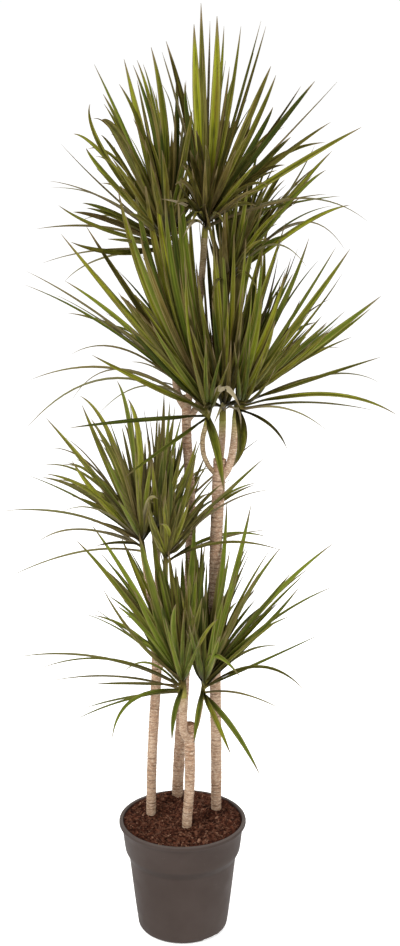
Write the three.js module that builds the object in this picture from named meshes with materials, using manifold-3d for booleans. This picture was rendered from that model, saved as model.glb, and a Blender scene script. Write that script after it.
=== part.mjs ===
// Potted dragon tree: four cut canes with side shoots and leaf heads, in a round nursery pot.
// Millimetres, +Z up. The origin is the middle of the pot's foot, on the surface it stands on.
import * as THREE from "three";
import { mergeVertices } from "three/addons/utils/BufferGeometryUtils.js";
import Module from "manifold-3d";

const wasm = await Module();
wasm.setup();

// ---- Driving dimensions ----

const GAP = 0.3; // between pieces that rest against each other

const POT = {
  height: 220,
  rimRadius: 120,
  lipHeight: 8,
  collarTopRadius: 115,
  collarFootRadius: 108.5,
  collarFootHeight: 157,
  bodyTopRadius: 100.5,
  bodyTopHeight: 142,
  bodyFootRadius: 85,
  footHeight: 7,
  footRadius: 77,
  footInnerRadius: 71,
  floorRise: 4,
  wall: 2.6,
  sides: 36,
};
const DRAIN = { count: 8, radius: 6, circleRadius: 60, sides: 10 };
const NOTCH = { count: 3, first: -50, width: 34, height: 4.5, depth: 20 }; // first is an angle in degrees

const SOIL = { edgeHeight: 213, edgeDrop: 3, middleHeight: 217 };

const BARK_SIDES = 8;
const BARK_STEP = 60; // length of one straight stretch of a cane or shoot

// Canes: the points on each cane's middle line, from 105 mm down in the soil to the cut top.
const CANES = {
  tallest: {
    route: [
      [-9, 74, 105],
      [-11, 95, 210],
      [-8, 97, 292],
      [6, 101, 520],
      [16, 106, 778],
      [8, 108, 960],
      [9, 108, 1014],
    ],
    footRadius: 11.5,
    topRadius: 8.5,
  },
  tall: {
    route: [[63, 40, 105], [64, 44, 315], [60, 48, 600], [62, 50, 735], [69, 50, 908]],
    footRadius: 9.5,
    topRadius: 12,
  },
  medium: {
    route: [[-62, 20, 105], [-58, 26, 325], [-50, 32, 467], [-47, 35, 541]],
    footRadius: 9,
    topRadius: 9.5,
  },
  short: {
    route: [[4, -26, 105], [8, -28, 217], [14, -27, 311], [13, -28, 425]],
    footRadius: 8.5,
    topRadius: 10,
  },
};

// Shoots: each leaves its cane on one side a little under the cut, and ends in a leaf head.
const SHOOTS = [
  {
    cane: "tallest",
    place: "left",
    radius: 6.5,
    route: [[9, 108, 988], [-6, 111, 1012], [-17, 122, 1100], [-25, 137, 1262]],
  },
  {
    cane: "tallest",
    place: "middle",
    radius: 6,
    route: [[9, 108, 996], [13, 94, 1016], [25, 91, 1110], [36, 96, 1230], [41, 100, 1302]],
  },
  {
    cane: "tallest",
    place: "right",
    radius: 6,
    route: [[9, 108, 968], [27, 113, 992], [53, 126, 1090], [80, 138, 1192]],
  },
  {
    cane: "tall",
    place: "left",
    radius: 4.5,
    route: [[66, 48, 876], [49, 42, 897], [39, 37, 923], [38, 32, 951], [44, 26, 978]],
  },
  {
    cane: "tall",
    place: "middle",
    radius: 6.5,
    route: [[67, 51, 880], [70, 67, 905], [73, 70, 942], [74, 68, 976]],
  },
  {
    cane: "tall",
    place: "right",
    radius: 7,
    route: [[66, 50, 865], [84, 45, 892], [94, 44, 938], [98, 46, 986]],
  },
  {
    cane: "medium",
    place: "left",
    radius: 5.5,
    route: [[-47, 34, 512], [-52, 20, 546], [-54, 12, 610], [-60, 11, 665], [-69, 17, 732]],
  },
  {
    cane: "medium",
    place: "middle",
    radius: 5.5,
    route: [[-47, 35, 520], [-48, 50, 552], [-46, 58, 650], [-46, 60, 742]],
  },
  {
    cane: "medium",
    place: "right",
    radius: 5,
    route: [[-47, 35, 502], [-35, 24, 530], [-32, 10, 620], [-30, 4, 708]],
  },
  {
    cane: "short",
    place: "left",
    radius: 7.5,
    route: [[13, -28, 392], [3, -43, 415], [2, -54, 450], [2, -58, 490]],
  },
  {
    cane: "short",
    place: "right",
    radius: 4.5,
    route: [[13, -28, 398], [24, -30, 416], [31, -31, 442], [36, -31, 475]],
  },
];

// The bare tip of a shoot, inside its tuft, that the leaf bases clasp.
const TIP = { height: 72, topRadius: 3.5, leafInset: 2 };

// The front view that the leaves were read in: 400 by 946 pixels, from 2.7 m away and 1.6 m up.
const VIEW = { eye: [33, -2700, 1600], tilt: 14.63, focal: 1562, middle: [200, 473] };

// Leaf tips as [across, down, side] in that view. Side 0 is a leaf square to the line of sight,
// -1 one that comes as far forward as its length lets it, and 1 one that goes back.
const LEAF_TIPS = {
  "tallest left": {
    length: 370,
    tips: [
      [95, 65, 0], [104, 96, 0.5], [90, 105, -0.4], [125, 59, 0.3], [133, 67, -0.5], [151, 48, 0.2],
      [102, 136, -0.7], [73, 135, 0.3], [48, 181, -0.3], [50, 188, 0.5], [58, 205, -0.2],
      [36, 228, 0], [71, 242, -0.6], [43, 263, 0.4],
    ],
  },
  "tallest middle": {
    length: 375,
    tips: [
      [201, 3, 0], [210, 27, -0.6], [224, 27, 0.6], [241, 28, -0.3], [262, 21, 0.2], [270, 67, -0.7],
      [301, 87, 0.4], [316, 80, -0.3], [337, 82, 0], [331, 122, 0.5], [363, 127, -0.1], [185, 81, -0.8],
      [166, 41, 0.3],
    ],
  },
  "tallest right": {
    length: 350,
    tips: [
      [332, 152, 0.3], [327, 170, -0.5], [315, 145, -0.2], [343, 196, 0.5], [351, 205, -0.2],
      [367, 222, 0.2], [306, 266, -0.7], [345, 250, 0.4], [262, 130, -0.4],
    ],
  },
  "tall left": {
    length: 430,
    tips: [
      [61, 234, 0], [86, 227, -0.3], [66, 281, 0.3], [25, 286, 0], [74, 355, 0.4], [92, 354, -0.5],
      [29, 380, 0.2], [25, 429, -0.2], [67, 428, -0.5], [125, 476, -0.6], [224, 490, -0.5],
    ],
  },
  "tall middle": {
    length: 400,
    tips: [
      [268, 261, 0.3], [276, 255, -0.5], [288, 262, 0.6], [300, 249, -0.2], [310, 238, 0.1],
      [235, 225, -0.4], [215, 215, 0.5],
    ],
  },
  "tall right": {
    length: 380,
    tips: [
      [335, 248, -0.3], [351, 249, 0], [343, 276, 0.5], [382, 297, -0.5], [345, 310, -0.6],
      [353, 337, 0.3], [382, 357, -0.6], [390, 382, -0.7], [397, 415, -0.9], [326, 430, 0.6],
      [288, 449, -0.7], [233, 467, -0.8],
    ],
  },
  "medium left": {
    length: 325,
    tips: [
      [44, 417, 0.1], [80, 396, -0.3], [82, 405, 0.5], [118, 380, 0], [128, 399, -0.5], [47, 448, 0.4],
      [44, 465, -0.3], [71, 461, -0.7], [27, 475, 0.1], [2, 511, 1], [66, 511, -0.6], [38, 542, -0.3],
      [96, 546, -0.8], [8, 577, 0.9],
    ],
  },
  "medium middle": {
    length: 320,
    tips: [
      [158, 409, 0], [164, 394, 0.5], [170, 402, -0.4], [175, 406, 0.3], [148, 434, -0.8], [264, 459, 0.3],
      [260, 439, 0.6],
    ],
  },
  "medium right": {
    length: 310,
    tips: [
      [257, 483, 0.1], [270, 490, -0.2], [269, 530, 0.3], [281, 550, -0.2], [205, 521, -0.6],
      [196, 455, -0.5],
    ],
  },
  "short left": {
    length: 335,
    tips: [
      [76, 540, 0.2], [90, 524, -0.2], [103, 588, -0.7], [123, 545, 0.5], [80, 614, 0.4], [17, 657, 0.1],
      [39, 669, -0.4], [50, 681, 0.4], [94, 684, -0.7], [85, 708, 0.6], [75, 720, -0.3], [112, 740, -0.5],
      [172, 741, -0.8], [150, 540, -0.5],
    ],
  },
  "short right": {
    length: 345,
    tips: [
      [252, 506, 0.2], [228, 499, -0.4], [205, 547, -0.8], [251, 552, 0.6], [283, 546, -0.2],
      [259, 573, -0.7], [334, 543, 0], [306, 574, 0.4], [300, 586, -0.5], [335, 586, 0.2],
      [279, 620, -0.7], [320, 634, 0.3],
      [304, 690, -0.3], [282, 709, 0.2], [194, 744, -0.7], [231, 754, -0.5], [260, 775, -0.2],
    ],
  },
};

const LEAF = { width: 14, thickness: 2.2, baseWidth: 6, stations: [0, 0.35, 0.7] };
const SPREAD = { across: 360, depth: 342 }; // how far from the pot's axis the furthest leaf tips lie
const CLEARANCE = 2.5; // between two leaves of different heads, or a leaf and a cane

// Leaves that the front view hides, as [rise, facing] in degrees: the same fan on every head, facing back
// or forward, each turned within a quarter circle by the golden angle.
const GOLDEN_ANGLE = 137.508;
const BACK = 90;
const FORWARD = 270;
const HIDDEN_LEAVES = [
  [72, BACK],
  [58, FORWARD],
  [44, BACK],
  [32, FORWARD],
  [20, BACK],
  [45, FORWARD],
  [6, BACK],
  [-12, BACK],
];

const COLOURS = {
  pot: 0x524944,
  soil: 0x45291f,
  bark: 0xb5997f,
  shoot: 0xb89a80,
  leaves: 0x5c6324,
};

// ---- Solids ----

const up = new THREE.Vector3(0, 0, 1);

function vectors(rows) {
  return rows.map((row) => new THREE.Vector3(...row));
}

// Closed solid from rings of equal size, each a list of points; a lone point closes an end.
function loft(rings) {
  const points = rings.flat();
  const faces = [];
  let start = 0;
  for (let i = 0; i + 1 < rings.length; i++) {
    const next = start + rings[i].length;
    const size = rings[i].length;
    for (let j = 0; j < size; j++) {
      const k = (j + 1) % size;
      if (rings[i + 1].length === 1) {
        faces.push(start + j, start + k, next);
      } else {
        faces.push(start + j, start + k, next + k, start + j, next + k, next + j);
      }
    }
    start = next;
  }
  const cap = (first, size, flip) => {
    for (let j = 1; j + 1 < size; j++) {
      faces.push(first, flip ? first + j + 1 : first + j, flip ? first + j : first + j + 1);
    }
  };
  cap(0, rings[0].length, true);
  if (rings.at(-1).length > 1) {
    cap(start, rings.at(-1).length, false);
  }
  const geometry = new THREE.BufferGeometry();
  const coordinates = points.flatMap((point) => point.toArray());
  geometry.setAttribute("position", new THREE.Float32BufferAttribute(coordinates, 3));
  geometry.setIndex(faces);
  return geometry;
}

// Round bar along a curve, with its radius given along the way from 0 to 1.
function bar(curve, steps, radiusAt) {
  const rings = [];
  for (let i = 0; i <= steps; i++) {
    const t = i / steps;
    const middle = curve.getPointAt(t);
    const along = curve.getTangentAt(t);
    const across = new THREE.Vector3(0, 1, 0).cross(along).normalize();
    const away = along.clone().cross(across);
    const ring = [];
    for (let j = 0; j < BARK_SIDES; j++) {
      const angle = (2 * Math.PI * j) / BARK_SIDES;
      ring.push(
        middle
          .clone()
          .addScaledVector(across, radiusAt(t) * Math.cos(angle))
          .addScaledVector(away, radiusAt(t) * Math.sin(angle)),
      );
    }
    rings.push(ring);
  }
  return loft(rings);
}

function solid(geometry) {
  const plain = geometry.clone();
  plain.deleteAttribute("normal");
  plain.deleteAttribute("uv");
  const merged = mergeVertices(plain, 1e-4);
  return new wasm.Manifold(
    new wasm.Mesh({
      numProp: 3,
      vertProperties: new Float32Array(merged.attributes.position.array),
      triVerts: new Uint32Array(merged.index.array),
    }),
  );
}

function geometryOf(manifold) {
  const mesh = manifold.getMesh();
  const geometry = new THREE.BufferGeometry();
  geometry.setAttribute("position", new THREE.Float32BufferAttribute(mesh.vertProperties, 3));
  geometry.setIndex(Array.from(mesh.triVerts));
  geometry.computeVertexNormals();
  return geometry;
}

// Turned about Z from an outline of [radius, height] that starts and ends on the axis.
function turned(outline, sides = POT.sides) {
  const points = outline.map(([radius, height]) => new THREE.Vector2(radius, height));
  return new THREE.LatheGeometry(points, sides).rotateX(Math.PI / 2);
}

// ---- Pot ----

// Inside of the pot, from the floor's edge up to the given height in the collar, moved in by a clearance.
function innerWall(clearance, topHeight) {
  const inset = POT.wall + clearance;
  const lipFoot = POT.height - POT.lipHeight;
  const upTheCollar = (topHeight - POT.collarFootHeight) / (lipFoot - POT.collarFootHeight);
  const topRadius = THREE.MathUtils.lerp(POT.collarFootRadius, POT.collarTopRadius, upTheCollar);
  return [
    [POT.bodyFootRadius - inset, POT.footHeight + clearance],
    [POT.bodyTopRadius - inset, POT.bodyTopHeight + clearance],
    [POT.collarFootRadius - inset, POT.collarFootHeight + clearance],
    [topRadius - inset, topHeight],
  ];
}

function makePot() {
  const lipTop = POT.height;
  const lipFoot = POT.height - POT.lipHeight;
  const outline = [
    [0, POT.floorRise],
    [POT.footInnerRadius, POT.floorRise],
    [POT.footInnerRadius, 0],
    [POT.footRadius, 0],
    [POT.bodyFootRadius - 2.5, 2.5],
    [POT.bodyFootRadius, POT.footHeight],
    [POT.bodyTopRadius, POT.bodyTopHeight],
    [POT.collarFootRadius, POT.collarFootHeight],
    [POT.collarTopRadius, lipFoot],
    [POT.rimRadius - 0.8, lipFoot],
    [POT.rimRadius, lipFoot + 2],
    [POT.rimRadius, lipTop - 3],
    [POT.rimRadius - 2.5, lipTop],
    [POT.collarTopRadius - POT.wall + 1, lipTop],
    [POT.collarTopRadius - POT.wall, lipTop - 2],
    ...innerWall(0, lipFoot).reverse(),
    [0, POT.footHeight],
  ];
  let pot = solid(turned(outline));
  for (let i = 0; i < DRAIN.count; i++) {
    const angle = (2 * Math.PI * i) / DRAIN.count;
    const hole = new THREE.CylinderGeometry(DRAIN.radius, DRAIN.radius, 2 * POT.footHeight + 4, DRAIN.sides)
      .rotateX(Math.PI / 2)
      .translate(DRAIN.circleRadius * Math.cos(angle), DRAIN.circleRadius * Math.sin(angle), 0);
    pot = pot.subtract(solid(hole));
  }
  for (let i = 0; i < NOTCH.count; i++) {
    const notch = new THREE.BoxGeometry(NOTCH.depth, NOTCH.width, 2 * NOTCH.height)
      .translate(POT.footRadius, 0, 0)
      .rotateZ(THREE.MathUtils.degToRad(NOTCH.first + (360 * i) / NOTCH.count));
    pot = pot.subtract(solid(notch));
  }
  return geometryOf(pot);
}

// ---- Soil, with a socket round each cane ----

function makeSoil() {
  const wall = innerWall(GAP, SOIL.edgeHeight - SOIL.edgeDrop);
  const outline = [
    [0, POT.footHeight + GAP],
    ...wall,
    [wall.at(-1)[0] - SOIL.edgeDrop, SOIL.edgeHeight],
    [0.5 * POT.rimRadius, SOIL.middleHeight - 1],
    [0, SOIL.middleHeight],
  ];
  let soil = solid(turned(outline));
  for (const name of Object.keys(CANES)) {
    soil = soil.subtract(solid(caneBar(name, GAP)));
  }
  return geometryOf(soil);
}

// ---- Canes and shoots ----

function route(rows) {
  return new THREE.CatmullRomCurve3(vectors(rows), false, "centripetal");
}

function stepsFor(curve) {
  return Math.max(3, Math.round(curve.getLength() / BARK_STEP));
}

// A cane's bar, swollen by a clearance where it is used to cut its socket or a shoot's seat.
function caneBar(name, clearance) {
  const { route: rows, footRadius, topRadius } = CANES[name];
  const ends = rows.map((row) => [...row]);
  ends[0][2] -= clearance;
  ends.at(-1)[2] += clearance;
  const curve = route(ends);
  return bar(curve, stepsFor(curve), (t) => THREE.MathUtils.lerp(footRadius, topRadius, t) + clearance);
}

function shootCurve(shoot) {
  return route(shoot.route);
}

// A shoot starts inside its cane and is cut back to the bark, where it sits in its collar.
function makeShoot(shoot) {
  const curve = shootCurve(shoot);
  const collar = (t) => shoot.radius * (1 + 0.12 * Math.max(0, 1 - 6 * t));
  const whole = solid(bar(curve, stepsFor(curve) + 2, collar));
  const outside = whole.subtract(solid(caneBar(shoot.cane, GAP)));
  const pieces = outside.decompose().sort((a, b) => b.volume() - a.volume());
  return geometryOf(pieces[0]);
}

// ---- Leaf heads ----

// Where a leaf's tip lies, from its place in the front view, the head it grows from and its length.
function tipInSpace([across, down, side], head, length) {
  const tilt = THREE.MathUtils.degToRad(VIEW.tilt);
  const right = (across - VIEW.middle[0]) / VIEW.focal;
  const rise = (VIEW.middle[1] - down) / VIEW.focal;
  const ray = new THREE.Vector3(
    right,
    Math.cos(tilt) + rise * Math.sin(tilt),
    rise * Math.cos(tilt) - Math.sin(tilt),
  ).normalize();
  const eye = new THREE.Vector3(...VIEW.eye);
  const nearest = head.clone().sub(eye).dot(ray);
  const abreast = eye.clone().addScaledVector(ray, nearest).distanceTo(head);
  const reach = Math.sqrt(Math.max(0, length * length - abreast * abreast));
  const wanted = eye.y + (nearest + side * reach) * ray.y;
  const depth = THREE.MathUtils.clamp(wanted, -SPREAD.depth, SPREAD.depth);
  return eye.clone().addScaledVector(ray, (depth - eye.y) / ray.y);
}

// Hidden leaf: bearing round the stem, where 90 points back, and rise above level, both in degrees.
function hiddenTip(bearing, rise, head, length) {
  const turn = THREE.MathUtils.degToRad(bearing);
  const lift = THREE.MathUtils.degToRad(rise);
  const level = length * Math.cos(lift);
  const offset = new THREE.Vector3(level * Math.cos(turn), level * Math.sin(turn), length * Math.sin(lift));
  const tip = head.clone().add(offset);
  tip.y = THREE.MathUtils.clamp(tip.y, -SPREAD.depth, SPREAD.depth);
  return tip;
}

// A leaf leaves the stem steeper than its tip lies and bends over towards it.
function leafCurve(foot, axis, tip) {
  const fromFoot = tip.clone().sub(foot);
  const rise = THREE.MathUtils.radToDeg(Math.asin(fromFoot.z / fromFoot.length()));
  const share = THREE.MathUtils.clamp((rise + 20) / 110, 0, 1);
  const outward = new THREE.Vector3(fromFoot.x, fromFoot.y, 0).normalize();
  const base = foot
    .clone()
    .addScaledVector(axis, TIP.height * (0.12 + 0.78 * share))
    .addScaledVector(outward, TIP.leafInset);
  const reach = tip.clone().sub(base);
  const start = THREE.MathUtils.degToRad(Math.max(0.75 * rise + 22, 15));
  const droop = THREE.MathUtils.clamp(-rise / 90, 0, 1);
  const shoulder = outward
    .multiplyScalar(Math.cos(start))
    .setZ(Math.sin(start))
    .multiplyScalar(0.45 * reach.length() * (1 - 0.5 * droop))
    .add(base);
  return new THREE.QuadraticBezierCurve3(base, shoulder, tip);
}

function leafWidth(t) {
  const swell = Math.min(1, t / 0.3);
  const taper = Math.min(1, (1 - t) / 0.65);
  return THREE.MathUtils.lerp(LEAF.baseWidth, LEAF.width, swell) * taper;
}

// Blade with a flat upper face and a keel under its midrib.
function makeBlade(curve) {
  const tip = curve.getPoint(1);
  const base = curve.getPoint(0);
  const outward = new THREE.Vector3(tip.x - base.x, tip.y - base.y, 0).normalize();
  const across = up.clone().cross(outward);
  const rings = LEAF.stations.map((t) => {
    const middle = curve.getPoint(t);
    const face = curve.getTangent(t).cross(across).normalize();
    const half = leafWidth(t) / 2;
    return [
      middle.clone().addScaledVector(across, half),
      middle.clone().addScaledVector(across, -half),
      middle.clone().addScaledVector(face, -LEAF.thickness),
    ];
  });
  return loft([...rings, [tip]]);
}

// Straight stretches [from, to, half width] that stand in for a bar or a blade in the clearance test.
function stretches(curve, steps, halfAt) {
  const list = [];
  for (let i = 0; i < steps; i++) {
    list.push({
      from: curve.getPoint(i / steps),
      to: curve.getPoint((i + 1) / steps),
      half: halfAt((i + 0.5) / steps),
    });
  }
  return list;
}

function stretchDistance(a, b) {
  const u = a.to.clone().sub(a.from);
  const v = b.to.clone().sub(b.from);
  const w = a.from.clone().sub(b.from);
  const uu = u.dot(u);
  const uv = u.dot(v);
  const vv = v.dot(v);
  const uw = u.dot(w);
  const vw = v.dot(w);
  const det = uu * vv - uv * uv;
  let s = det < 1e-9 ? 0 : THREE.MathUtils.clamp((uv * vw - vv * uw) / det, 0, 1);
  const t = THREE.MathUtils.clamp((uv * s + vw) / vv, 0, 1);
  s = THREE.MathUtils.clamp((uv * t - uw) / uu, 0, 1);
  return a.from.clone().addScaledVector(u, s).distanceTo(b.from.clone().addScaledVector(v, t));
}

function isClear(blade, obstacles) {
  const apart = (part, other) => stretchDistance(part, other) > part.half + other.half + CLEARANCE;
  return blade.every((part) => obstacles.every((other) => apart(part, other)));
}

const BLADE_STEPS = 8;
const SIDE_TRIES = [0, 0.15, -0.15, 0.3, -0.3, 0.45, -0.45, 0.6, -0.6, 0.8, -0.8];
const TURN_TRIES = [0, 8, -8, 16, -16, 24, -24];

// Places each head's leaves clear of every other head, cane and shoot.
// A leaf with no clear place is left out.
function placeLeaves() {
  const bars = Object.values(CANES).map((cane) => {
    const curve = route(cane.route);
    return stretches(curve, stepsFor(curve), () => Math.max(cane.footRadius, cane.topRadius));
  });
  const heads = SHOOTS.map((shoot) => {
    const curve = shootCurve(shoot);
    const foot = curve.getPoint(1);
    const axis = curve.getTangent(1);
    const stem = stretches(curve, stepsFor(curve), () => 1.35 * shoot.radius);
    const top = foot.clone().addScaledVector(axis, TIP.height);
    const core = [{ from: foot, to: top, half: shoot.radius }];
    return { shoot, foot, axis, stem, core, blades: [], curves: [] };
  });
  const place = (head, candidates) => {
    const others = heads.filter((other) => other !== head);
    const taken = others.flatMap((other) => [other.stem, other.core, ...other.blades]);
    const obstacles = [...bars, ...taken].flat();
    for (const tip of candidates.filter((point) => Math.abs(point.x) <= SPREAD.across)) {
      const curve = leafCurve(head.foot, head.axis, tip);
      const blade = stretches(curve, BLADE_STEPS, (t) => leafWidth(t) / 2);
      if (isClear(blade, obstacles) && isClear(blade.slice(2), head.stem)) {
        head.blades.push(blade);
        head.curves.push(curve);
        return;
      }
    }
  };
  for (const head of heads) {
    const { length, tips } = LEAF_TIPS[`${head.shoot.cane} ${head.shoot.place}`];
    for (const [across, down, side] of tips) {
      const sides = SIDE_TRIES.map((change) => THREE.MathUtils.clamp(side + change, -1, 1));
      place(head, sides.map((s) => tipInSpace([across, down, s], head.foot, length)));
    }
  }
  HIDDEN_LEAVES.forEach(([rise, facing], ring) => {
    heads.forEach((head, index) => {
      const { length } = LEAF_TIPS[`${head.shoot.cane} ${head.shoot.place}`];
      const bearing = facing + ((GOLDEN_ANGLE * (ring + 3 * index)) % 90) - 45;
      place(head, TURN_TRIES.map((turn) => hiddenTip(bearing + turn, rise, head.foot, 0.85 * length)));
    });
  });
  return heads;
}

// The growing tip, a tapering bar that stands a hair above the shoot, with every blade joined to it.
function makeLeaves(head) {
  const start = head.foot.clone().addScaledVector(head.axis, GAP);
  const end = head.foot.clone().addScaledVector(head.axis, TIP.height);
  const radiusAt = (t) => THREE.MathUtils.lerp(head.shoot.radius, TIP.topRadius, t);
  const core = solid(bar(new THREE.LineCurve3(start, end), 1, radiusAt));
  return geometryOf(wasm.Manifold.union([core, ...head.curves.map((curve) => solid(makeBlade(curve)))]));
}

// ---- Assembly ----

const plant = new THREE.Group();

function add(name, geometry, color, roughness) {
  const mesh = new THREE.Mesh(geometry, new THREE.MeshStandardMaterial({ color, roughness, metalness: 0 }));
  mesh.name = name;
  plant.add(mesh);
}

add("pot", makePot(), COLOURS.pot, 0.55);
add("soil", makeSoil(), COLOURS.soil, 0.95);
for (const name of Object.keys(CANES)) {
  add(`cane_${name}`, caneBar(name, 0), COLOURS.bark, 0.85);
}
for (const shoot of SHOOTS) {
  add(`shoot_${shoot.cane}_${shoot.place}`, makeShoot(shoot), COLOURS.shoot, 0.75);
}
for (const head of placeLeaves()) {
  add(`leaves_${head.shoot.cane}_${head.shoot.place}`, makeLeaves(head), COLOURS.leaves, 0.45);
}

export default plant;
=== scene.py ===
"""Potted dragon tree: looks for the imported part. Metres, +Z up, the front of the photograph at -Y."""
import math
import random

import bpy
import numpy as np
from mathutils import Euler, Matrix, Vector, noise


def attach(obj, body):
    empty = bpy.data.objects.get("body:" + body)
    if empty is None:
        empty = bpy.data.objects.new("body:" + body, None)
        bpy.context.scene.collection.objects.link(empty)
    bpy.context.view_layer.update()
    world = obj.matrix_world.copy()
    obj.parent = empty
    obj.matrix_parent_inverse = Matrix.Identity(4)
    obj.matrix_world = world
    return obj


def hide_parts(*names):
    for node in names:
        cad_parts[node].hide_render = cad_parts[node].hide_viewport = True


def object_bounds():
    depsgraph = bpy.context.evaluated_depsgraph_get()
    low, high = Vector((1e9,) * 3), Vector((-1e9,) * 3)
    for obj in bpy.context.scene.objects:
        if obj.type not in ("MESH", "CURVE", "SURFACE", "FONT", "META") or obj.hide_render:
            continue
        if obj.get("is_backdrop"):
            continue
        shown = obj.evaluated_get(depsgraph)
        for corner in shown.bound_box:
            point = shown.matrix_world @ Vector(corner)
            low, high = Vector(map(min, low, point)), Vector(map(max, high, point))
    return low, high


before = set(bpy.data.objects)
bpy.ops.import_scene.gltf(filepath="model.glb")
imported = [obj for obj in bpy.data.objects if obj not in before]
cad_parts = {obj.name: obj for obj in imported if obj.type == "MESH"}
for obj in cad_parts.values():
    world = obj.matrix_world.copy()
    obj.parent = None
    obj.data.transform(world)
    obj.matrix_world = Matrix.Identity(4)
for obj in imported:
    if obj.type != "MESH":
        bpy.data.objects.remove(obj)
CAD_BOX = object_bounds()

MM = 0.001
TURN = 6.28  # a full turn in radians, as the random draws take it
SHARP = {"pot": 38, "soil": 70, "stem": 60, "leaf": 62}  # degrees from which edges are sharp

# ---- Pot and soil, in millimetres ----

# The pot's wall as radius and height, from the middle of the floor's underside round to its inside.
# It is the CAD's, but its body and step follow the photograph: up to 1 mm wider, and 3.5 mm higher.
POT_OUTLINE = [
    (0, 4), (40, 4), (70.2, 4), (71, 3.2), (71, 0.6), (71.6, 0), (76.4, 0), (77, 0.5),  # foot ring
    (79.2, 1.2), (81.2, 2.1), (82.8, 3.4), (84, 5.0), (84.8, 6.8), (85.4, 9), (86.9, 20), (89.4, 40),  # body
    (91.8, 60), (94, 80), (96.2, 100), (98.4, 120), (100.9, 143), (101.3, 145), (101.9, 147),
    (102.8, 149), (106.8, 157), (107.7, 158.8), (108.4, 160.6), (109, 163),  # step
    (110.9, 177), (113.1, 196), (114.6, 210.8), (115.2, 211.8), (116, 212), (118.6, 212),  # collar
    (119.5, 212.5), (120, 213.6), (120, 216.6), (119.5, 218.6), (118.4, 219.7), (117.2, 220),  # lip
    (114.6, 220), (113.2, 219.3), (112.4, 217.6), (112.4, 212), (105.9, 157), (97.9, 142),  # inside
    (82.4, 7), (40, 7), (0, 7),
]
POT_SIDES = 180
DRAIN = {"count": 8, "radius": 6, "circle": 60, "sides": 24, "heights": (-5, 12)}
NOTCH = {"count": 3, "first": -50, "circle": 77, "width": 34, "depth": 20, "heights": (-5, 6)}
SOIL = {
    "edge": 216.5, "middle": 217, "heap": 6, "radius": 112.0, "sink": 26, "sink_from": 0.88, "rough": 1.6,
    "rings": 84, "sides": 260,
}
SOIL_WALL = [(112.0, 211), (105.4, 157.5), (97.5, 142.5), (82.0, 7.4), (0, 7.4)]
# The size, the shift and the weight of each roughness in the soil.
SOIL_NOISE = ((26, (0, 0, 0), 1.2), (9, (7, 3, 1), 1.3), (3.6, (1, 9, 4), 0.9), (1.7, (5, 2, 8), 0.45))
# Bits of bark: how far they stay from the wall and the canes, the power that keeps most of them small,
# their least length and width and what big ones add, their height, how far they lean, how high they
# lie, how far their corners are pulled in, the share that is dull, the share that isn't pale, and how
# pale all are.
CHIPS = {
    "count": 1700, "seed": 11, "from_wall": 5, "from_cane": 13, "small": 2.5, "length": (3.2, 10),
    "width": (2.2, 5), "height": (1.0, 3.2), "lean": 0.4, "lift": 0.15, "corners": (0.62, 1.0),
    "dull": 0.9, "pale": 0.985, "tones": (0.35, 0.6, 1.0),
}
CORNERS = np.array([(x, y, z) for z in (-0.5, 0.5) for y in (-0.5, 0.5) for x in (-0.5, 0.5)])
BOX = ((0, 1, 3, 2), (4, 6, 7, 5), (0, 4, 5, 1), (2, 3, 7, 6), (0, 2, 6, 4), (1, 5, 7, 3))

# ---- Canes and shoots, in millimetres ----

# The points that a cane runs through, and its radius at its foot and at its top.
CANES = {
    "tallest": ([(-9, 74, 105), (-11, 95, 210), (-8, 97, 292), (6, 101, 520), (16, 106, 778), (8, 108, 960),
                 (9, 108, 1014)], 11.5, 8.5),
    "tall": ([(63, 40, 105), (64, 44, 315), (60, 48, 600), (62, 50, 735), (69, 50, 908)], 9.5, 12),
    "medium": ([(-62, 20, 105), (-58, 26, 325), (-50, 32, 467), (-47, 35, 541)], 9, 9.5),
    "short": ([(4, -26, 105), (8, -28, 217), (14, -27, 311), (13, -28, 425)], 8.5, 10),
}
CANE_FEET = ((-11, 95), (8, -28), (64, 42), (-60, 23))  # where they enter the soil
# How orange-brown a cane is, low down and at its cut.
CANE_WARMTH = {"tallest": (0.4, 0.6), "tall": (0.1, 0.6), "medium": (0.2, 0.3), "short": (0.2, 0.8)}
# A shoot's radius and the points that it runs through.
SHOOTS = {
    "tallest_left": (6.5, [(9, 108, 988), (-6, 111, 1012), (-17, 122, 1100), (-25, 137, 1262)]),
    "tallest_middle": (6, [(9, 108, 996), (13, 94, 1016), (25, 91, 1110), (36, 96, 1230), (41, 100, 1302)]),
    "tallest_right": (6, [(9, 108, 968), (27, 113, 992), (53, 126, 1090), (80, 138, 1192)]),
    "tall_left": (4.5, [(66, 48, 876), (49, 42, 897), (39, 37, 923), (38, 32, 951), (44, 26, 978)]),
    "tall_middle": (6.5, [(67, 51, 880), (70, 67, 905), (73, 70, 942), (74, 68, 976)]),
    "tall_right": (7, [(66, 50, 865), (84, 45, 892), (94, 44, 938), (98, 46, 986)]),
    "medium_left": (5.5, [(-47, 34, 512), (-52, 20, 546), (-54, 12, 610), (-60, 11, 665), (-69, 17, 732)]),
    "medium_middle": (5.5, [(-47, 35, 520), (-48, 50, 552), (-46, 58, 650), (-46, 60, 742)]),
    "medium_right": (5, [(-47, 35, 502), (-35, 24, 530), (-32, 10, 620), (-30, 4, 708)]),
    "short_left": (7.5, [(13, -28, 392), (3, -43, 415), (2, -54, 450), (2, -58, 490)]),
    "short_right": (4.5, [(13, -28, 398), (24, -30, 416), (31, -31, 442), (36, -31, 475)]),
}
# How brown-green a shoot is, and how yellow-green its top.
SHOOT_TINT = (0.2, 0.3)
SHOOT_TINTS = {
    "tall_left": (0.8, 0.2), "tall_middle": (0.1, 1.0), "tall_right": (0.0, 0.9), "short_left": (0.0, 0.2),
    "tallest_middle": (0.35, 0.3), "medium_left": (0.05, 0.3),
}
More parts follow.
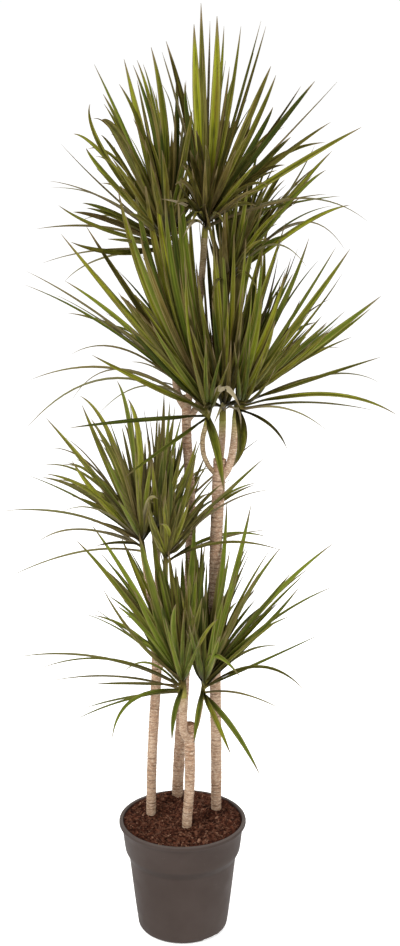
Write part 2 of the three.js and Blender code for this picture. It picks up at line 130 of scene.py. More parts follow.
# The step between rings of points, the step and the depth of the leaf scars, the sides, the first seed,
# how dark the scars are, the rings of points over the top, as share of the radius and rise, and how much
# of a cut face that top is.
CANE = {
    "step": 1.15, "scar_step": 7.4, "scar_depth": 0.5, "sides": 30, "seed": 1, "dark": 0.95,
    "top": ((0.94, 0.5), (0.82, 0.6), (0.3, -0.5)), "cut": 1.0,
}
SHOOT = {
    "step": 0.9, "scar_step": 3.6, "scar_depth": 0.3, "sides": 24, "seed": 21, "dark": 0.7,
    "top": ((0.8, 0.3), (0.3, 0.6)), "cut": 0.0,
}
TINTED_FROM = 0.6  # share of a stem's length above which its tints set in
# The width of a scar's groove, the place and width of the swelling over it, the scar's tilt, the first one
# and those between, as shares of the step; how high the swelling is and how deep the groove.
SCAR = {
    "groove": 0.18, "swell_at": 0.3, "swell": 0.2, "tilt": 0.2, "first": (0.3, 1), "apart": (0.6, 1.45),
    "swell_height": 0.55, "deep": (0.35, 1),
}
# How long a stem's lumps and warts are, and how high: a share of its radius, and mm.
LUMP_SIZE, WART_SIZE = 21, 5
LUMP, WART = 0.05, 0.3
FLARE, FLARE_SHARE = 0.3, 0.2  # how much a shoot widens at its foot, and over how much of its length
SHOOT_WARMTH = 0.3  # for each unit of brown-green

# ---- The photograph's camera: 400 by 946 pixels, from 2.7 m away and 1.6 m up ----

EYE = np.array((33.0, -2700.0, 1600.0))
TILT = math.radians(14.63)
TILT_SIN, TILT_COS = math.sin(TILT), math.cos(TILT)
FOCAL = 1562
MIDDLE = (200, 473)
SENSOR = 36

# ---- Leaf heads ----

# The length of a head's leaves in mm, and the leaves that show in the photograph: the pixel of the tip, a
# pixel half way along, the side (-1 as far forward as the length lets it, 1 as far back), the widest that
# could show in mm, and the tone.
LEAVES = {
    "tallest_left": (370, """
94 64 132 148 0 10 light  103 94 131 150 .5 13 olive  104 104 130 152 .2 9 green  124 59 145 146 .2 18 light
119 84 147 146 -.4 13 green  137 60 157 135 .3 13 light  143 64 158 132 .5 8 olive  133 65 157 145 -.5 13 dark
137 80 151 148 .4 10 brown  151 47 165 132 .2 18 green  160 82 175 138 .5 6 wisp  90 104 104 153 .2 14 green
102 120 126 149 -.6 22 brown  93 119 122 146 -.5 8 brown  73 134 108 160 .3 13 green
101 135 124 166 -.7 11 dark  109 128 130 164 -.3 9 dark  86 148 110 180 -.2 15 light
88 149 122 166 .4 9 green  49 181 105 200 .3 5 wisp  50 188 107 200 .5 6 wisp  58 205 104 229 -.2 12 olive
82 203 118 215 -.5 14 olive  73 212 112 221 -.4 16 brown  86 208 120 219 -.6 11 green  36 229 105 228 0 6 dry
71 242 115 252 -.6 16 green  43 263 98 251 .4 5 wisp  65 281 105 258 .2 5 wisp  107 239 135 242 -.8 9 brown
61 144 112 196 .1 5 wisp  192 112 184 158 -.6 14 olive  145 140 155 190 -.8 14 green
172 130 170 185 -.7 13 deep  176 78 176 150 .3 15 deep  186 80 181 150 .5 5 wisp  160 118 164 180 -.5 14 deep
139 118 152 172 .1 16 green  112 158 138 196 -.8 15 olive  150 160 158 200 -.9 14 olive
185 140 178 190 .5 13 deep  198 150 186 196 -.3 13 deep  128 146 146 186 -.6 16 olive
150 118 160 168 .6 15 deep  196 172 183 204 .5 14 deep  188 165 180 200 -.6 14 olive
162 150 167 196 -.8 15 olive  96 168 128 200 -.3 11 green  120 185 142 214 -.8 14 olive
203 188 185 211 .2 14 deep  206 204 189 217 -.6 13 dark  202 222 187 224 -.5 12 brown
128 214 146 222 -.9 13 olive"""),
    "tallest_middle": (375, """
194 24 198 115 -.1 22 bright  201 3 203 110 -.3 18 olive  210 21 209 100 .5 6 wisp
217 16 215 115 -.2 24 bright  224 26 218 110 .4 10 green  241 26 227 120 .3 11 light  261 21 236 115 .2 7 dark
266 26 240 115 -.2 8 dark  271 66 246 125 -.3 15 olive  276 75 250 135 .4 13 green  315 81 270 137 -.3 16 deep
337 82 282 142 .3 6 wisp  301 86 265 140 .5 8 deep  331 122 278 160 .4 13 olive  362 127 292 167 -.1 16 green
166 41 187 120 .3 16 deep  162 52 181 120 .5 6 wisp  185 82 190 140 -.4 13 deep  262 142 238 172 -.7 14 deep
248 134 231 168 -.8 11 olive  160 199 188 207 -.5 8 straw  341 196 282 206 .2 7 olive
327 194 275 204 -.3 6 dry  367 221 297 199 .2 5 wisp  196 130 202 165 -.8 13 deep  230 120 222 160 .6 14 deep
285 165 250 180 -.6 13 deep  176 150 190 175 .5 12 deep  236 150 224 178 -.8 13 brown
205 145 208 172 -.9 12 olive  268 185 240 190 -.8 11 olive  175 185 190 188 -.8 11 brown
273 107 252 147 -.4 16 deep  291 137 258 168 -.6 16 deep  178 128 193 170 .6 16 deep
190 150 199 182 -.3 15 deep  183 165 196 190 -.7 13 green  170 165 190 190 .3 14 deep
200 165 204 190 .5 14 deep  255 165 235 188 -.9 12 light  252 118 234 165 .3 13 deep
258 190 236 200 -.9 12 brown  174 206 191 202 -.8 12 brown  181 216 194 207 -.6 12 deep
191 226 199 212 -.8 11 olive  225 228 216 213 -.8 11 brown  256 206 234 206 -.6 13 olive
262 176 238 192 .3 13 green  183 238 195 222 -.6 8 straw  214 246 209 229 -.7 8 olive
192 168 199 205 -.8 11 deep  218 166 209 205 -.8 11 deep  205 160 205 202 -.85 11 brown
177 180 194 209 -.75 10 deep"""),
    "tallest_right": (350, """
332 151 284 205 .3 17 light  326 170 284 208 -.5 14 light  312 176 278 215 -.2 10 olive
315 145 283 203 .1 6 wisp  350 205 297 228 -.2 14 bright  306 266 268 246 -.7 5 wisp
345 250 295 224 .4 5 wisp  288 166 263 204 .5 13 green  283 195 258 226 .1 12 dark
270 182 250 222 -.4 13 brown  224 165 226 230 -.5 14 olive  240 160 234 225 -.3 13 brown
256 158 244 225 .5 13 olive  212 175 220 235 .4 12 dark  248 185 240 235 -.8 13 light
232 190 230 240 .6 14 dark  286 205 254 238 -.8 13 light  205 205 216 250 -.6 10 brown
268 238 246 252 -.8 11 olive  265 200 247 238 .2 15 olive  208 235 217 262 .6 12 dark
225 210 225 255 -.8 13 brown  250 210 238 250 -.4 14 light  238 215 231 256 .5 14 olive
212 300 219 279 -.7 9 brown  258 292 243 272 -.6 9 olive"""),
    "tall_left": (430, """
61 234 135 323 0 20 light  86 226 141 310 -.3 18 deep  65 281 132 331 .3 15 light  25 285 115 333 0 8 dark
26 271 115 327 .4 7 wisp  56 295 125 338 .2 5 wisp  72 354 132 353 .4 6 dry  92 355 148 384 -.5 15 green
30 380 120 370 .2 6 dry  25 430 112 379 -.2 5 wisp  72 400 125 370 .5 4 wisp  69 428 140 420 -.5 12 dark
97 416 150 386 .6 4 wisp  150 381 182 390 .5 6 dark  125 477 166 447 -.6 11 dark  224 491 216 446 -.5 24 green
129 327 164 367 -.8 16 deep  120 295 155 334 -.2 15 brown  132 330 168 362 -.6 13 brown
240 407 222 388 -.9 18 straw  118 190 152 300 .2 21 green  134 182 161 297 -.1 20 dark
144 176 168 295 .1 21 green  155 172 173 292 .1 21 green  168 168 183 292 .1 21 dark
180 170 191 294 -.1 20 green  126 215 157 303 -.5 16 olive  140 235 165 312 -.7 14 brown
100 318 150 352 .6 10 olive  131 362 165 374 .5 5 wisp  178 195 189 308 -.4 20 dark
131 240 163 325 .5 16 green  118 292 158 345 -.6 14 brown  160 240 180 330 .5 17 dark
196 262 204 340 .5 15 dark  150 320 178 368 -.8 13 olive  188 305 198 358 -.8 14 deep
165 195 179 303 -.4 19 green  190 205 196 315 .1 19 green  186 268 192 345 -.7 14 light
128 300 165 352 -.3 16 dark  146 300 174 358 .4 15 dark  222 350 212 392 -.7 10 dark
190 348 202 392 -.7 11 brown  229 362 216 397 -.6 10 dark  206 340 206 390 -.75 11 dark"""),
    "tall_middle": (400, """
206 236 214 322 .3 15 deep  211 205 219 308 .2 15 olive  253 196 236 303 -.1 17 brown
272 212 246 312 .3 15 olive  226 200 226 305 .1 15 deep  263 203 240 305 -.3 16 green
219 222 223 316 -.4 14 brown  240 208 232 312 .5 15 deep  203 408 213 404 -.5 13 deep
247 404 235 402 -.5 13 deep  286 222 254 317 -.2 13 olive  246 238 238 325 -.5 13 light
214 424 223 405 -.85 9 grey  241 429 236 408 -.7 9 straw  212 345 220 390 -.8 10 deep
231 340 228 390 -.8 10 brown  240 350 231 393 -.75 10 deep  224 328 224 387 -.8 11 deep
222 232 226 330 -.35 15 olive  234 228 231 328 -.4 15 green  216 246 221 332 -.3 13 light
262 247 252 330 -.3 13 green  264 240 256 322 .4 16 green  278 257 258 335 .3 7 wisp
298 248 262 335 .5 8 olive  285 272 261 345 -.2 16 bright  309 238 274 322 .1 14 olive
197 270 208 345 -.5 14 olive  183 268 201 345 .4 13 green  228 300 226 358 -.8 11 light
190 325 206 370 -.9 12 olive  222 260 223 335 .6 15 deep  240 290 232 350 -.6 14 deep
212 300 218 355 -.7 14 deep  247 290 238 358 .6 14 deep  213 270 218 340 -.2 15 green
232 275 229 345 .2 15 deep  243 285 236 350 -.9 11 brown  213 240 218 325 -.5 14 green
205 335 214 372 -.8 12 deep  240 330 233 372 -.8 13 deep"""),
    "tall_right": (380, """
336 247 291 320 -.3 10 olive  350 249 300 319 0 18 light  342 274 301 331 .5 9 olive
381 296 314 347 -.5 20 light  371 308 316 350 -.2 12 green  345 311 299 352 -.6 8 dark
322 316 287 353 .4 13 green  352 337 301 362 .3 8 olive  381 357 313 379 -.6 11 green
389 382 322 376 .2 6 dry  397 415 325 394 -.9 12 green  372 410 305 403 .3 6 brown  326 430 285 409 .6 5 wisp
287 449 268 424 -.7 8 dark  233 467 242 438 -.8 27 dark  291 258 266 335 .3 12 olive
262 295 253 350 -.7 15 bright  275 320 260 364 -.8 14 light  300 300 273 352 .6 15 dark
256 275 250 340 .5 14 green  312 325 280 365 -.6 14 olive  290 330 266 370 -.9 13 green
328 332 290 366 -.8 15 light  250 300 246 352 .2 14 green  250 338 245 390 -.75 11 dark
234 342 239 391 -.75 10 dark  264 352 250 393 -.7 11 green  276 366 256 397 -.7 10 dark"""),
    "medium_left": (325, """
46 418 94 475 .1 16 green  80 396 112 440 -.3 11 olive  82 405 108 466 .5 15 light  91 419 115 464 .2 13 green
117 381 131 432 0 12 light  128 399 140 447 -.5 15 light  49 448 95 470 .4 5 dry  44 465 93 481 -.3 8 olive
46 474 94 494 -.7 13 green  27 475 88 504 .1 6 olive  72 461 102 501 -.6 18 bright  66 438 101 474 .5 5 wisp
2 511 78 516 1 7 dry  62 512 100 511 -.6 5 wisp  92 521 118 529 -.4 12 brown  38 542 82 530 -.3 5 wisp
96 546 120 543 -.8 8 dark  9 577 78 553 .9 6 dry  98 530 122 537 .4 5 brown  112 442 128 482 -.4 13 brown
145 440 144 490 -.5 13 deep  104 455 123 496 -.7 13 green  158 499 147 504 -.9 10 grey
122 450 133 496 .6 15 olive  98 485 122 514 -.8 13 dark  135 452 139 495 -.8 14 green
151 462 146 498 -.7 13 bright  150 440 148 488 .4 14 dark  118 500 131 521 -.9 13 green
160 478 152 508 .2 13 green  164 500 154 520 .3 12 olive  153 482 147 520 -.8 10 dark
138 478 141 518 -.8 11 green  119 488 135 521 -.75 11 olive"""),
    "medium_middle": (320, """
158 407 156 465 0 8 dark  164 394 162 455 .5 13 brown  170 401 165 460 -.4 10 olive
175 405 168 465 .3 8 olive  147 437 153 478 -.8 9 brown  260 438 212 478 .6 5 wisp
186 420 175 475 .4 11 green  197 440 181 487 -.5 13 green  205 455 186 495 .3 13 dark
163 450 160 490 -.8 14 dark  150 420 155 470 .4 6 wisp  152 460 155 498 -.9 13 green
180 455 171 495 -.8 14 green  176 445 169 488 .2 14 green  156 440 157 485 .5 14 dark
166 470 163 503 -.9 13 dark  192 455 178 496 .6 13 olive"""),
    "medium_right": (310, """
256 483 213 505 .1 9 green  270 490 218 509 -.2 5 wisp  263 459 216 503 .3 13 green  267 530 218 540 .3 6 dry
280 550 222 543 -.2 8 dark  222 484 194 512 -.6 12 dark  196 455 183 505 -.5 13 green
172 450 170 505 -.6 14 dark  185 470 177 515 .5 14 olive  155 470 160 520 .4 13 green
210 490 189 526 .4 12 dark  160 524 169 533 -.9 10 light  165 495 166 530 -.9 13 green
190 500 178 532 -.8 13 green  148 500 156 532 -.8 10 dark  178 490 172 527 .1 14 dark
200 478 184 519 .5 13 olive  153 535 159 547 -.7 9 olive  193 525 181 545 -.5 11 dark
148 515 157 541 -.9 12 green  145 505 155 537 .3 12 dark  163 498 166 541 -.8 11 olive
181 502 171 542 -.8 11 dark  147 507 161 543 -.75 10 green"""),
    "short_left": (335, """
76 540 126 598 .2 16 green  91 524 136 592 -.2 15 light  121 537 147 597 .5 14 olive
102 587 138 641 -.7 10 brown  81 613 130 637 .4 6 olive  92 607 135 640 .6 5 wisp
117 606 148 634 -.8 13 green  17 657 100 658 .1 7 dry  39 669 110 660 -.4 7 olive  124 672 150 664 .5 6 olive
50 681 115 677 .4 6 dry  94 684 135 684 -.7 8 brown  85 708 128 698 .6 7 olive  75 720 125 701 -.3 7 olive
112 740 133 700 -.5 11 green  172 741 174.5 712 -.8 15 green  139 533 155 598 -.5 20 olive
152 530 164 598 -.2 22 green  168 548 176 612 -.4 17 dark  182 556 183 612 .5 16 green
195 516 190 592 .2 20 green  190 575 186 625 -.6 15 olive  146 560 162 622 .6 16 dark
176 604 174 634 -.95 15 green  134 590 156 634 -.8 15 green  160 600 170 638 -.8 15 dark
178 575 179 625 -.2 16 green  150 600 164 640 -.3 15 dark  187 585 185 632 -.6 17 dark
197 572 191 624 -.3 17 green  202 598 193 638 -.8 15 olive  205 560 196 617 .4 15 green
218 619 201 641 -.95 11 light  194 615 189 645 -.7 14 dark  184 610 182 660 -.8 12 dark
195 622 187 663 -.75 11 dark  165 618 177 664 -.8 12 green  200 640 189 668 -.7 10 dark
165 560 170 618 -.1 19 green  176 564 177 618 .2 15 dark"""),
    "short_right": (345, """
251 505 231 590 .2 16 light  227 500 220 588 -.4 14 light  205 545 200 612 -.8 15 dark
250 552 229 605 .6 6 olive  249 547 227 602 .2 8 olive  282 546 240 607 -.2 11 olive
259 573 232 624 -.7 14 brown  334 543 268 602 0 15 light  292 572 255 617 -.3 11 dark
306 573 260 619 .4 8 olive  300 586 258 634 -.5 13 dark  335 586 268 624 .2 8 olive
279 620 244 648 -.7 9 green  321 634 262 662 .3 9 light  304 690 258 667 -.3 9 dark  281 709 240 694 .2 6 dry
194 744 198 715 -.7 15 green  231 755 215 718 -.5 15 green  260 775 232 727 -.2 16 green
241 678 213 656 -.9 15 green  215 555 210 618 .3 16 bright  237 575 221 626 -.4 16 green
198 555 200 622 .4 15 green  224 595 213 642 -.8 16 green  190 605 198 650 -.9 14 dark
245 596 224 642 .5 14 green  206 590 205 640 -.3 15 dark  232 600 217 645 .1 15 dark
192 520 198 603 -.2 19 green  186 562 195 628 .2 15 dark  181 590 192 642 -.4 14 green
189 625 197 659 -.9 12 dark  222 545 213 612 .3 15 green  230 550 217 617 -.6 13 olive
184 625 194 660 .3 14 olive  220 636 212 661 -.9 13 light  194 625 200 663 -.8 11 dark
188 606 197 650 -.2 15 dark  203 608 204 657 -.8 12 dark  216 612 209 659 -.8 12 green
186 630 198 665 -.7 11 dark  227 630 212 664 -.75 11 dark  185 543 193 612 0 14 dark
202 538 201 610 .3 15 green  176 572 189 632 -.2 14 dark"""),
}
HEAD_SEED = 41
SHOOT_POINTS = 60  # along a shoot, of which the last two give its head's direction
# The power that a head's random number has: below 1, more of its leaves are a cool green.
USUAL_LUSH = 1.4
LUSH = {"short_left": 0.35, "short_right": 0.4, "tall_left": 0.6, "tall_right": 0.8}
# What each cane's heads have on top of their tones' brightness and greyness.
PALER = {"tallest": (0.08, 0.0), "tall": (0.13, 0.0), "medium": (0.22, 0.04), "short": (0.19, 0.01)}
# How bright, how brown and how grey a tone is.
TONES = {
    "bright": (0.74, 0.0, 0.0), "light": (0.64, 0.06, 0.0), "green": (0.44, 0.03, 0.0),
    # deep is painted shade: leaves made nearly black where the inside of a head lies in shade
    "deep": (-0.2, 0.05, 0.0), "dark": (0.13, 0.08, 0.0), "olive": (0.45, 0.16, 0.01),
    "brown": (0.3, 0.5, 0.02), "wisp": (0.3, 0.2, 0.25), "dry": (0.35, 0.45, 0.1),
    "straw": (0.8, 0.5, 0.7), "grey": (0.6, 0.2, 0.3),
}
BRIGHT_RANGE = 0.3  # by how much the brightness of one tone's leaves differs
# The share of the width in the table that shows of a leaf, the least slant that makes it slanted, and the
# narrowest that a leaf is in mm.
SLIM = {"upright": 0.92, "slanted": 0.76}
SLANT = 0.6
NARROWEST = 8.5
# Shorter leaves between the ones that show, as a share of their number. Angles are in radians.
FILL = {
    "usual": 1.5, "tallest_middle": 0.6, "tallest_left": 1.0, "reach": (0.5, 0.9), "side": (-0.85, 0.75),
    "widest_gap": 0.6, "lowest": 0.45, "width": (8, 12), "turned": (0.45, 1),
    "tones": ("dark", "dark", "green", "green", "olive", "brown", "light"),
}
# Leaves that point back, behind the others. Angles are in degrees.
HIDDEN = {
    "count": 18, "tries": 10, "spread": 60, "length": 0.84, "lengths": (0.85, 1.08), "steepest": 78,
    "lowest": 4, "arch": 0.11, "apart": 70, "crowding": 0.3, "width": (9, 13), "turned": (0.35, 0.95),
    "tones": ("green", "dark", "green", "olive", "light", "brown"),
}
FREE = slice(7, None)  # the stations of a leaf that can show past the stem
COVERING = slice(6, -4)  # the stations where a leaf is broad enough to hide others
SPREAD = {"across": 355, "depth": 345}  # how far from the pot's axis a tip may lie
# The stem tip that carries the leaves: its height, its radius near the top and at its end, how deep the
# leaves are set in it, how far up the head's middle is and between which shares of it leaves start, and
# the bright, brown, grey and lot of its look.
TIP = {
    "height": 72, "radius": 3.5, "end": 1.2, "inset": 2, "gap": 0.3, "sides": 14,
    "levels": (0, 0.12, 0.3, 0.5, 0.7, 0.88, 1.0), "aim": 0.7, "lowest": 0.05, "highest": 0.88,
    "look": (0.4, 0.3, 0.0, 0.5), "along": 0.09,
}
# Shares of a leaf's length, and at such shares its width, its fold in radians and its thickness in mm.
STATIONS = np.array([0, 0.02, 0.045, 0.08, 0.12, 0.17, 0.23, 0.29, 0.35, 0.41, 0.47, 0.53, 0.59, 0.65, 0.71,
                     0.77, 0.82, 0.87, 0.91, 0.945, 0.97, 0.988, 1.0])
WIDTH_AT = ([0, 0.03, 0.1, 0.2, 0.32, 0.48, 0.64, 0.78, 0.88, 0.95, 1.0],
            [1.0, 0.86, 0.8, 0.92, 1.0, 0.96, 0.8, 0.56, 0.35, 0.18, 0.04])
FOLD_AT = ([0, 0.06, 0.2, 0.6, 1.0], [1.15, 0.9, 0.6, 0.42, 0.25])
THICK_AT = ([0, 0.1, 0.8, 1], [1.1, 0.75, 0.5, 0.3])
# How high on the stem tip a leaf starts, by the degrees that it rises.
JOIN_AT = ([-60, -20, 0, 20, 40, 60, 90], [0.02, 0.08, 0.16, 0.28, 0.4, 0.5, 0.6])
# Round a blade's section: across it, and over or under it.
SECTION = ((-1, 0), (-0.5, 1), (0, 1), (0.5, 1), (1, 0), (0.5, -1), (0, -1), (-0.5, -1))
TWIST = 0.16  # radians over a leaf's length, as a usual deviation
POINTED = 0.15  # sine of the angle to the line of sight under which a leaf points to or from the camera
TURNED_BY = 0.3  # share of the length over which a leaf turns to the side that shows
WAVE = {"height": 0.35, "turns": 17, "width": 8}

# ---- Colours and lights ----

POT_COLOURS = {
    "dark": (0.041, 0.029, 0.0245), "light": (0.05, 0.0365, 0.0315), "wear_and_lip_light": (0.1, 0.08, 0.07),
    "step_shade": (0.012, 0.009, 0.0075),
}
# painted shade: the pot darkens across its step between these heights
STEP_SHADE = {"foot": (0.141, 0.149), "top": (0.163, 0.156)}  # heights in metres between which it darkens
# heights in metres over which painted light lifts the top of the lip
LIP_LIGHT = (0.2175, 0.2198)
SOIL_COLOURS = {
    "dark": (0.013, 0.004, 0.0022), "light": (0.06, 0.019, 0.0105), "fleck": (0.13, 0.055, 0.03),
}
CHIP_COLOURS = {
    "dark": (0.024, 0.0075, 0.0042), "light": (0.11, 0.038, 0.021), "fleck": (0.34, 0.2, 0.13),
}
BARK_COLOURS = {
    "pale": (0.455, 0.322, 0.222), "mid": (0.34, 0.222, 0.143), "deep": (0.16, 0.088, 0.052),
    "crust": (0.58, 0.462, 0.35), "ring": (0.1, 0.055, 0.033), "warm": (0.3, 0.155, 0.085),
    "cut": (0.36, 0.19, 0.095), "cut_dark": (0.16, 0.08, 0.045), "olive": (0.1, 0.07, 0.028),
    "olive_pale": (0.3, 0.23, 0.12), "lime": (0.2, 0.2, 0.03), "lime_pale": (0.42, 0.4, 0.13),
}
LEAF_COLOURS = {
    "shade": (0.015, 0.0135, 0.0014), "green": (0.06, 0.062, 0.005), "lime": (0.2, 0.215, 0.011),
    "vein": (0.25, 0.235, 0.07), "olive": (0.145, 0.108, 0.016), "margin": (0.06, 0.028, 0.007),
    "base_shade": (0.014, 0.0085, 0.0016), "rust": (0.085, 0.042, 0.013), "straw": (0.3, 0.225, 0.11),
    "cool": (0.022, 0.036, 0.005), "fresh": (0.125, 0.17, 0.016), "grey": (0.36, 0.295, 0.205),
    "withered": (0.14, 0.105, 0.05), "clasp": (0.3, 0.27, 0.065),
}
NOISE_RANGE = (0.3, 0.7)  # where nearly all of a noise texture lies
FLOOR = {"radius": 60000, "sides": 96, "glow": 0.55, "dark": (0.9, 0.9, 0.89), "light": (0.93, 0.93, 0.925)}
# The sine of the angle above the horizon up to which the studio wall is white, the one from which the
# ceiling is grey, and how bright both are.
WALL = (0.3, 0.7, 1.02, 0.45)
# The place, the size and the power of each light, and what they aim at.
LIGHTS = {
    "key": ((-1.8, -2.2, 3.1), (1.2, 1.2), 105), "fill": ((2.4, -1.7, 1.9), (1.2, 2.0), 34),
    "back": ((1.0, 2.6, 2.9), (1.4, 1.4), 46),
}
LIT = Vector((0, 0, 0.85))


# ---- Curves and lines of sight ----

def unit(v):
    return v / np.maximum(np.linalg.norm(v, axis=-1, keepdims=True), 1e-12)


def catmull_rom(rows, count):
    """Centripetal Catmull-Rom through the rows: count points at equal steps, in mm, and its length."""
    p = np.array(rows, float)
    p = np.vstack([2 * p[0] - p[1], p, 2 * p[-1] - p[-2]])
    t = np.linspace(0, 1, 80, endpoint=False)[:, None]
    dense = []
    for i in range(1, len(p) - 2):
        d = [max(np.sum((p[j + 1] - p[j]) ** 2) ** 0.25, 1e-4) for j in (i - 1, i, i + 1)]
        step = p[i + 1] - p[i]
        m1 = ((p[i] - p[i - 1]) / d[0] - (p[i + 1] - p[i - 1]) / (d[0] + d[1]) + step / d[1]) * d[1]
        m2 = (step / d[1] - (p[i + 2] - p[i]) / (d[1] + d[2]) + (p[i + 2] - p[i + 1]) / d[2]) * d[1]
        dense.append(p[i] + m1 * t + (3 * step - 2 * m1 - m2) * t ** 2 + (m1 + m2 - 2 * step) * t ** 3)
    dense = np.vstack(dense + [p[-2:-1]])
    along = np.concatenate([[0], np.cumsum(np.linalg.norm(np.diff(dense, axis=0), axis=1))])
    wanted = np.linspace(0, along[-1], count)
    return np.stack([np.interp(wanted, along, dense[:, k]) for k in range(3)], 1), along[-1]


def ray_of(px, py):
    right, rise = (px - MIDDLE[0]) / FOCAL, (MIDDLE[1] - py) / FOCAL
    return unit(np.array([right, TILT_COS + rise * TILT_SIN, rise * TILT_COS - TILT_SIN]))


def pixel_of(point):
    right, back, rise = point - EYE
    ahead = back * TILT_COS - rise * TILT_SIN
    above = back * TILT_SIN + rise * TILT_COS
    return np.array([MIDDLE[0] + FOCAL * right / ahead, MIDDLE[1] - FOCAL * above / ahead])


def at_depth(px, py, depth):
    """The point on a pixel's line of sight that lies this far back."""
    ray = ray_of(px, py)
    return EYE + ray * (depth - EYE[1]) / ray[1]


def tip_in_space(px, py, side, foot, length):
    """The point on a pixel's line of sight that a leaf of this length reaches, on its side of the foot."""
    ray = ray_of(px, py)
    nearest = float(np.dot(foot - EYE, ray))
    abreast = np.linalg.norm(EYE + ray * nearest - foot)
    reach = math.sqrt(max(0.0, length * length - abreast * abreast))
    depth = EYE[1] + (nearest + side * reach) * ray[1]
    return at_depth(px, py, min(max(depth, -SPREAD["depth"]), SPREAD["depth"]))


# ---- Meshes ----

def make_object(name, verts, faces, material, smooth=True, sharp=None):
    """verts in mm; faces as lists of indices; sharp in degrees."""
    mesh = bpy.data.meshes.new(name)
    mesh.from_pydata((np.asarray(verts) * MM).tolist(), [], faces)
    mesh.validate()
    if smooth:
        mesh.shade_smooth()
    if sharp is not None:
        mesh.set_sharp_from_angle(angle=math.radians(sharp))
    mesh.materials.append(material)
    obj = bpy.data.objects.new(name, mesh)
    bpy.context.scene.collection.objects.link(obj)
    return obj


def point_values(obj, names, marks):
    """Numbers for each vertex, which a material reads by name."""
    for name, values in zip(names, zip(*marks)):
        attribute = obj.data.attributes.new(name, "FLOAT", "POINT")
        attribute.data.foreach_set("value", np.array(values, np.float32))


def circle(sides):
    """The cosine and sine of equal steps round."""
    return [(math.cos(2 * math.pi * j / sides), math.sin(2 * math.pi * j / sides)) for j in range(sides)]


def ring_points(centre, side, away, radius, sides):
    return [centre + side * radius * c + away * radius * s for c, s in circle(sides)]


def band(a, b, size):
    """Quads between the ring of points that starts at a and the one that starts at b."""
    return [(a + j, a + (j + 1) % size, b + (j + 1) % size, b + j) for j in range(size)]


def ring_faces(rings, size, start=0):
    """Bands between rings of equal size, and a polygon at each end."""
    last = start + (rings - 1) * size
    faces = [face for a in range(start, last, size) for face in band(a, a + size, size)]
    return faces + [tuple(range(start + size - 1, start - 1, -1)), tuple(range(last, last + size))]


def lathe(profile, sides):
    """Points and faces of a profile turned round the z axis, on which it starts and ends."""
    verts = [(0, 0, profile[0][1])]
    for radius, height in profile[1:-1]:
        verts += [(radius * c, radius * s, height) for c, s in circle(sides)]
    verts.append((0, 0, profile[-1][1]))
    end = len(verts) - 1
    last = end - sides
    faces = [(0, 1 + (j + 1) % sides, 1 + j) for j in range(sides)]
    for a in range(1, last, sides):
        faces += band(a, a + sides, sides)
    faces += [(last + j, last + (j + 1) % sides, end) for j in range(sides)]
    return verts, faces


# ---- Materials ----

class Nodes:
    """Short names for the nodes of the world or of a material, which is built up in layers of colour."""

    def __init__(self, owner, palette=None):
        owner.use_nodes = True
        self.owner, self.tree, self.palette = owner, owner.node_tree, palette
        self.places = self.node("TexCoord").outputs

    def link(self, value, socket):
        if isinstance(value, bpy.types.NodeSocket):
            self.tree.links.new(value, socket)
        else:
            socket.default_value = value

    def node(self, kind, *values):
        """A new node, with these values or sockets on its first inputs."""
        node = self.tree.nodes.new("ShaderNode" + kind)
        for value, socket in zip(values, node.inputs):
            self.link(value, socket)
        return node

    def value(self, name):
        node = self.node("Attribute")
        node.attribute_name = name
        return node.outputs["Fac"]

    def math(self, operation, a, b=0.0, clamp=False):
        node = self.node("Math", a, b)
        node.operation = operation
        node.use_clamp = clamp
        return node.outputs[0]

    def times(self, a, b):
        return self.math("MULTIPLY", a, b)

    def between(self, value, low, high, out_low=0.0, out_high=1.0):
        node = self.node("MapRange", value, low, high, out_low, out_high)
        node.interpolation_type = "SMOOTHSTEP"
        return node.outputs[0]

    def spread(self, value, out_low=0.0, out_high=1.0):
        """The whole of a noise, from out_low to out_high."""
        return self.between(value, *NOISE_RANGE, out_low, out_high)

    def noise(self, scale, detail=2.0, rough=0.5, at=None, distortion=0.0):
        node = self.node("TexNoise", self.places["Object"] if at is None else at)
        names = ("Scale", "Detail", "Roughness", "Distortion")
        for name, x in zip(names, (scale, detail, rough, distortion)):
            node.inputs[name].default_value = x
        return node.outputs["Fac"]

    def mix(self, factor, a, b):
        """A colour between two others, which are sockets or names in the palette."""
        node = self.node("Mix")
        node.data_type = "RGBA"
        node.clamp_factor = True
        self.link(factor, node.inputs[0])
        for colour, socket in ((a, node.inputs[6]), (b, node.inputs[7])):
            self.link((*self.palette[colour], 1.0) if isinstance(colour, str) else colour, socket)
        return node.outputs[2]

    def base(self, factor, a, b):
        self.colour = self.mix(factor, a, b)

    def over(self, factor, colour):
        """Lays a colour over what is there."""
        self.colour = self.mix(factor, self.colour, colour)

    def finish(self, roughness, bump=None, distance=0.0005, strength=0.5, specular=0.5):
        shader = self.tree.nodes["Principled BSDF"].inputs
        self.link(self.colour, shader["Base Color"])
        self.link(roughness, shader["Roughness"])
        self.link(specular, shader["Specular IOR Level"])
        if bump is not None:
            node = self.node("Bump")
            for name, x in (("Strength", strength), ("Distance", distance), ("Height", bump)):
                self.link(x, node.inputs[name])
            self.link(node.outputs[0], shader["Normal"])
        return self.owner


